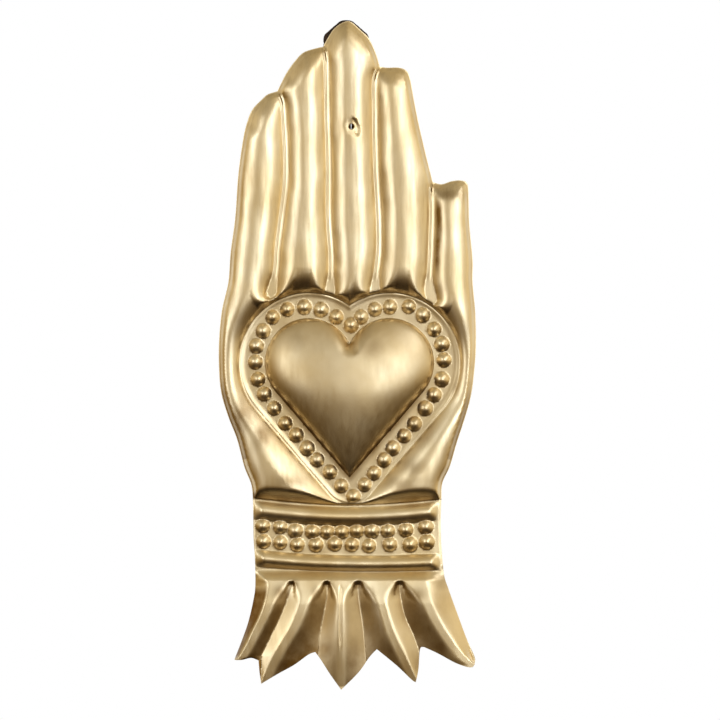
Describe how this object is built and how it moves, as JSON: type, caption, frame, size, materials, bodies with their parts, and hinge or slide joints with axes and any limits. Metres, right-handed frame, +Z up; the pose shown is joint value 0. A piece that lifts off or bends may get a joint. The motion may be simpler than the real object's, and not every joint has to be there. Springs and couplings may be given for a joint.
{
  "type": "milagro charm",
  "caption": "Flat votive hand charm raised in brass sheet, with a beaded heart in the palm, a beaded wrist band and a pleated cuff; a wire ring behind the fingertip swings out to hang it.",
  "frame": {"origin": "on the back plane of the sheet, straight behind the nail hole in the middle finger", "axes": "+Z up the hand to the fingertips, -Y out of the embossed front towards the viewer, +Y into the wall, +X to the viewer's right"},
  "size_m": [0.0774, 0.0128, 0.2013],
  "materials": {
    "brass_sheet": "hand-raised brass with a satin polish and a brown patina in the recesses",
    "dark_wire": "blackened iron wire",
    "brass_strip": "dull brass strip",
    "solder": "dull grey solder"
  },
  "bodies": {
    "hand": {"embossed_hand": "brass_sheet", "hanger_strap": "brass_strip", "solder_bed": "solder"},
    "ring": {"hanger_ring": "dark_wire"}
  },
  "joints": [
    {"name": "ring_swing", "type": "hinge", "parent": "hand", "child": "ring", "pos_m": [-0.0016, 0.0014, 0.0195], "axis": [-1, 0, 0], "range_deg": [0, 180]}
  ]
}
